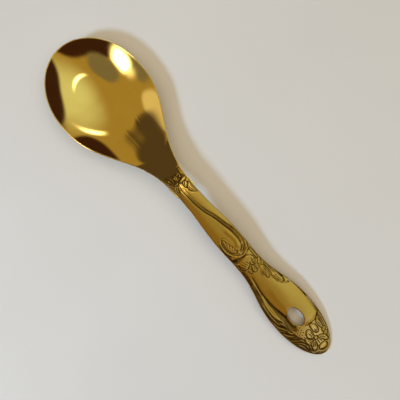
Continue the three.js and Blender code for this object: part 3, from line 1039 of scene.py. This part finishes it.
# %% Middle line of the handle
AT_HOLE_START = AT_HOLE - HOLE_LENGTH / 2
AT_HOLE_STOP = AT_HOLE + HOLE_LENGTH / 2
AT_STRAIGHT = 135  # from here to the hole the columns run straight across
FRONT_FAN = 2.7  # columns fan out from this far behind the front edge
CORNER_FAN = 5.2
CORNER_RUN = 2.0
END_FAN = 4.0  # and from this far before the end


def walk_to(station):
    """Share of the outline at which its side passes a station."""
    side = slice(len(front_s), None)
    return float(np.interp(station, handle_line[side, 0], handle_walk[side]) / handle_walk[-1])


# Shares of the outline, and the stations on the middle line from which their columns start
feet = [
    (0, FRONT_MIDDLE + FRONT_FAN),
    (walk_to(FRONT_SIDE + CORNER_RUN), FRONT_MIDDLE + CORNER_FAN),
    (walk_to(AT_STRAIGHT), AT_STRAIGHT),
    (walk_to(AT_HOLE_START), AT_HOLE_START),
    (walk_to(AT_HOLE_STOP), AT_HOLE_STOP),
    (1, AT_END - END_FAN),
]
foot_shares, foot_stations = zip(*feet)
hole_first, hole_last = foot_shares[3:5]
print("the hole lies between", AT_HOLE_START, "and", AT_HOLE_STOP, "mm")


def foot_of(share):
    """The place on the middle line, or on the hole's edge, from which a column starts."""
    s = np.interp(share, foot_shares, foot_stations)
    through = np.clip((share - hole_first) / (hole_last - hole_first), 0, 1)
    beside = (through > 0) & (through < 1)
    s = np.where(beside, AT_HOLE - HOLE_LENGTH / 2 * np.cos(through * math.pi), s)
    y = np.where(beside, HOLE_WIDTH / 2 * np.sin(through * math.pi), 0)
    return np.column_stack([s, y])


# %% Corners of the handle
HANDLE_COLUMNS = 540
FACE_ROWS = 54
EDGE_ROWS = 8
BACK_ROWS = 12
EDGE_ROUND = 0.4
FRONT_ROUND = 0.2  # the beaten front has a finer edge
FRONT_ROUND_SHARE = 0.03  # of the outline
ROUND_BLEND = 0.08
FACE_CROWDING = 1.15  # rows lie a little closer together at the middle line
RELIEF_MARGIN = 0.9  # the pattern fades out this far from the edge
LEAF_TIP_CUT = 0.2  # it cuts no deeper into the thin leaf tips


def handle_points(column, row, side):
    """Where the corners of one half's grid go, and how deep in a recess each one lies."""
    share = column / HANDLE_COLUMNS
    edge, out = walk_along(handle_line, share)
    foot = foot_of(share)
    rounding = mix(FRONT_ROUND, EDGE_ROUND, ease((share - FRONT_ROUND_SHARE) / ROUND_BLEND))
    last = edge - out * rounding[:, None]
    over = np.clip((row - FACE_ROWS) / EDGE_ROWS, 0, 1) * math.pi
    face = np.clip(row / FACE_ROWS, 0, 1)
    back = np.clip((row - FACE_ROWS - EDGE_ROWS) / BACK_ROWS, 0, 1)
    spread = np.where(row <= FACE_ROWS, face**FACE_CROWDING, 1 - back)
    flat = foot + (last - foot) * spread[:, None]
    flat += out * (rounding * np.sin(over))[:, None]
    s, y = flat.T
    y = y * side
    top, recess = relief(s, y)
    to_edge = (1 - spread) * np.hypot(*(last - foot).T)
    top *= ease(np.where(row <= FACE_ROWS, to_edge / RELIEF_MARGIN, 0))
    thick = ease((s - FRONT_SIDE + LEAF_TIP_LEAD) / LEAF_TIP_RUN)
    upper = handle_face(s, y) + top
    upper = mix(LAP_BACK + LEAF_TIP_SHEET + np.clip(top, -LEAF_TIP_CUT, None), upper, thick)
    lower = handle_back(s, y)
    lip = np.clip(1 - hole_distance(s, y) / HOLE_ROUND, 0, 1)
    drop = HOLE_ROUND * (1 - np.sqrt(1 - lip**2))
    upper = upper - drop
    lower = lower + drop
    middle = (upper + lower) / 2
    z = middle + (upper - lower) / 2 * np.cos(over)
    return np.column_stack([s, y, z]), recess * (over == 0)


handle_rows = FACE_ROWS + EDGE_ROWS + BACK_ROWS
print("each half of the handle is a grid of", HANDLE_COLUMNS, "by", handle_rows, "faces")

# %% Handle mesh
HANDLE_MERGE = 0.003

form = bmesh.new()
recess_layer = form.verts.layers.float.new("recess")
for side in (1, -1):
    half = bmesh.ops.create_grid(form, x_segments=HANDLE_COLUMNS, y_segments=handle_rows, size=0.5)
    column, row = grid_places(half["verts"], HANDLE_COLUMNS, handle_rows)
    corners, recess = handle_points(column, row, side)
    for vert, corner, depth in zip(half["verts"], resting(corners), recess):
        vert.co = corner
        vert[recess_layer] = depth
bmesh.ops.remove_doubles(form, verts=form.verts, dist=HANDLE_MERGE * MM)
rims = [edge for edge in form.edges if edge.is_boundary]
bmesh.ops.bridge_loops(form, edges=rims)
bmesh.ops.recalc_face_normals(form, faces=form.faces)
print("hole edge:", len(rims), "edges; open edges left:", sum(edge.is_boundary for edge in form.edges))
handle_form = form

# %% [markdown]
# The filler metal was drawn into the lap while it was hot. What shows of it is a hair line along the
# sides of the neck and a small rounded bead round the tail's tip on the underside. A curve with a
# bevel would give the bead without the film behind it. So a disc is laid on the outline of the lap,
# extruded to the film's thickness, and its edges are bevelled to a bead.

# %% Filler film
BEAD_OUT = 0.35
BEAD_ROUND = 0.08
FILM_INSET = 0.12
FILM_BEHIND_FRONT = 0.8
FILM_FRONT_HALF_WIDTH = 5.6
FILM_CORNER = 1.2
FILM_POINTS = 180
LAP_STEPS = 300
SHARP = 1.0  # radians between two faces

under_front = front_line[front_y < FILM_FRONT_HALF_WIDTH] + (FILM_BEHIND_FRONT, 0)
lap_side_s = np.linspace(FRONT_SIDE + FILM_CORNER, AT_TAIL_ROUND, LAP_STEPS)
lap_side = np.column_stack([lap_side_s, half_width(lap_side_s) - FILM_INSET])
tip_s = AT_TAIL_ROUND + (TAIL_ROUND + BEAD_OUT) * np.sin(turn)
lap_tip = np.column_stack([tip_s, (tail_half - FILM_INSET) * np.cos(turn)])
lap_line = np.concatenate([under_front, lap_side, lap_tip])
print("half of the lap's outline is", round(walked(lap_line)[-1], 1), "mm long")

# %% Film mesh
form = bmesh.new()
bmesh.ops.create_circle(form, cap_ends=True, segments=FILM_POINTS, radius=1.0)
angles = np.array([math.atan2(vert.co.y, vert.co.x) for vert in form.verts])
film_places, _ = walk_along(lap_line, 1 - np.abs(angles) / math.pi)
for vert, (s, y), angle in zip(form.verts, film_places, angles):
    vert.co = ((s - AT_END / 2) * MM, math.copysign(y, angle) * MM, LAP_FACE * MM)
film_face = form.faces[:]
raised = bmesh.ops.extrude_face_region(form, geom=film_face)
upper_film = [part for part in raised["geom"] if isinstance(part, bmesh.types.BMVert)]
bmesh.ops.translate(form, verts=upper_film, vec=(0, 0, BRAZE_FILM * MM))
bmesh.ops.recalc_face_normals(form, faces=form.faces)
brim = [edge for edge in form.edges if edge.calc_face_angle(0) > SHARP]
bmesh.ops.bevel(form, geom=brim, offset=BEAD_ROUND * MM, offset_type="OFFSET", affect="EDGES",
                segments=3, profile=0.5, material=-1)
film_form = form
print("filler film has", len(form.faces), "faces")

# %% [markdown]
# Three finishes share two effects, so each effect is a node group that every brass can use. Wiping
# scratches are thin broken lines in a few directions, from cloths and sponges. A handling film is the
# cloudy breath that fingers leave on polished metal. Both could be painted as pictures, but noise
# needs none and stays sharp close up. Groups only put out masks and heights, and every shader stays in
# its own material.

# %% Wiping scratches


def new_group(name, inputs, outputs):
    """A node group with these named sockets."""
    group = bpy.data.node_groups.new(name, "ShaderNodeTree")
    for socket, kind in inputs:
        group.interface.new_socket(socket, in_out="INPUT", socket_type="NodeSocket" + kind)
    for socket, kind in outputs:
        group.interface.new_socket(socket, in_out="OUTPUT", socket_type="NodeSocket" + kind)
    start = group.nodes.new("NodeGroupInput")
    stop = group.nodes.new("NodeGroupOutput")
    return group, start, stop


SCRATCH_TURNS = (20, 75, 140)  # degrees
SCRATCH_STRETCH = (50, 1600, 300)  # few lines along, many across

scratches, start, stop = new_group("wiping_scratches", [("Place", "Vector")], [("Scratch", "Float")])
last = None
for degrees in SCRATCH_TURNS:
    rotation = (0, 0, math.radians(degrees))
    turned = add(scratches, "Mapping", {"Rotation": rotation, "Scale": SCRATCH_STRETCH})
    hairs = add(scratches, "TexNoise", {"Scale": 1.0, "Detail": 2.0, "Roughness": 0.6})
    few = add(scratches, "MapRange", {"From Min": 0.6, "From Max": 0.74})
    link(scratches, start, "Place", turned, "Vector")
    link(scratches, turned, "Vector", hairs, "Vector")
    link(scratches, hairs, "Fac", few, "Value")
    if last is not None:
        both = add(scratches, "Math", operation="MAXIMUM")
        link(scratches, last, 0, both, 0)
        link(scratches, few, "Result", both, 1)
        few = both
    last = few
link(scratches, last, 0, stop, "Scratch")
print("scratches run in", len(SCRATCH_TURNS), "directions")

# %% Handling film
film_group, start, stop = new_group("handling_film", [("Place", "Vector")], [("Film", "Float")])
cloudy = {"Scale": 55.0, "Detail": 5.0, "Roughness": 0.6, "Distortion": 0.8}
clouds = add(film_group, "TexNoise", cloudy)
wisps = add(film_group, "MapRange", {"From Min": 0.42, "From Max": 0.72})
link(film_group, start, "Place", clouds, "Vector")
link(film_group, clouds, "Fac", wisps, "Value")
link(film_group, wisps, "Result", stop, "Film")
print("the film is", len(film_group.nodes), "nodes")

# %% [markdown]
# Each brass starts from the same base: object coordinates go into the two groups, the film makes the
# polish a little duller and redder, and the scratches catch light through a faint bump. The handle is
# the same brass as the bowl, but its colour is written darker as painted shade, so the bowl is the
# brightest. Shade is also painted into the handle's recesses, driven by the depth that was stored on
# the mesh while it was struck. The filler is paler and only satin.

# %% Brass base


def brass(name, clean, filmed, smooth, dull, scratch_depth):
    """Brass with film and scratches. The film takes it from clean and smooth to filmed and dull.

    Gives the material, its tree, and the nodes to build on."""
    material, tree = new_material(name)
    place = add(tree, "TexCoord")
    film = add(tree, "Group", node_tree=film_group)
    wiped = add(tree, "Group", node_tree=scratches)
    tint = add(tree, "Mix", data_type="RGBA")
    tint.inputs["A"].default_value = (*clean, 1)
    tint.inputs["B"].default_value = (*filmed, 1)
    polish = add(tree, "MapRange", {"To Min": smooth, "To Max": dull})
    bump = add(tree, "Bump", {"Strength": 0.25, "Distance": scratch_depth * MM})
    shader = add(tree, "BsdfPrincipled", {"Metallic": 1.0})
    for group in (film, wiped):
        link(tree, place, "Object", group, "Place")
    link(tree, film, "Film", tint, "Factor")
    link(tree, film, "Film", polish, "Value")
    link(tree, wiped, "Scratch", bump, "Height")
    link(tree, tint, "Result", shader, "Base Color")
    link(tree, polish, "Result", shader, "Roughness")
    link(tree, bump, "Normal", shader, "Normal")
    show(tree, shader, "BSDF")
    return material, tree, tint, polish, shader


polished_brass, *_ = brass("polished_brass", clean=(0.90, 0.64, 0.17), filmed=(0.86, 0.60, 0.15),
                           smooth=0.03, dull=0.09, scratch_depth=0.006)
braze_filler, *_ = brass("braze_filler", clean=(0.74, 0.58, 0.26), filmed=(0.62, 0.46, 0.20),
                         smooth=0.3, dull=0.5, scratch_depth=0.01)

# %% Struck brass
# Painted shade: the stored recess depth mixes the handle's brass towards this dark colour.
RECESS_SHADE_COLOUR = (0.10, 0.045, 0.008, 1)
SHADED_RECESS_ROUGHNESS = 0.3  # how much rougher the darkest recesses are

# The handle's clean and filmed colours are the bowl's brass written darker: painted shade.
struck_brass, tree, tint, polish, shader = brass(
    "struck_brass", clean=(0.56, 0.345, 0.068), filmed=(0.52, 0.31, 0.058),
    smooth=0.14, dull=0.26, scratch_depth=0.006)
depth = add(tree, "Attribute", attribute_name="recess")
shade_amount = add(tree, "MapRange", {"From Min": 0.1, "From Max": 0.95, "To Max": 0.93})
shaded_colour = add(tree, "Mix", data_type="RGBA")
shaded_colour.inputs["B"].default_value = RECESS_SHADE_COLOUR
matt = add(tree, "Math", {1: SHADED_RECESS_ROUGHNESS}, operation="MULTIPLY_ADD")
link(tree, depth, "Fac", shade_amount, "Value")
link(tree, shade_amount, "Result", shaded_colour, "Factor")
link(tree, tint, "Result", shaded_colour, "A")
link(tree, shaded_colour, "Result", shader, "Base Color")
link(tree, shade_amount, "Result", matt, 0)
link(tree, polish, "Result", matt, 2)
link(tree, matt, "Value", shader, "Roughness")
print("finishes:", polished_brass.name, struck_brass.name, braze_filler.name)

# %% [markdown]
# The three finished forms become objects. Nothing on a spoon moves, so all of them ride on the one
# body of the frame. Each takes the place of the plain solid that it was fitted to. They could be hung
# over the solids instead, but then the plain faces would show through the struck ones.

# %% Pieces in the frame
for form, node, material, slot in [(bowl_form, "bowl", polished_brass, "polished_brass"),
                                   (handle_form, "handle", struck_brass, "struck_brass"),
                                   (film_form, "braze", braze_filler, "braze_filler")]:
    piece = piece_from(form, node + "_finished", material)
    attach(piece, "root")
    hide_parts(node)
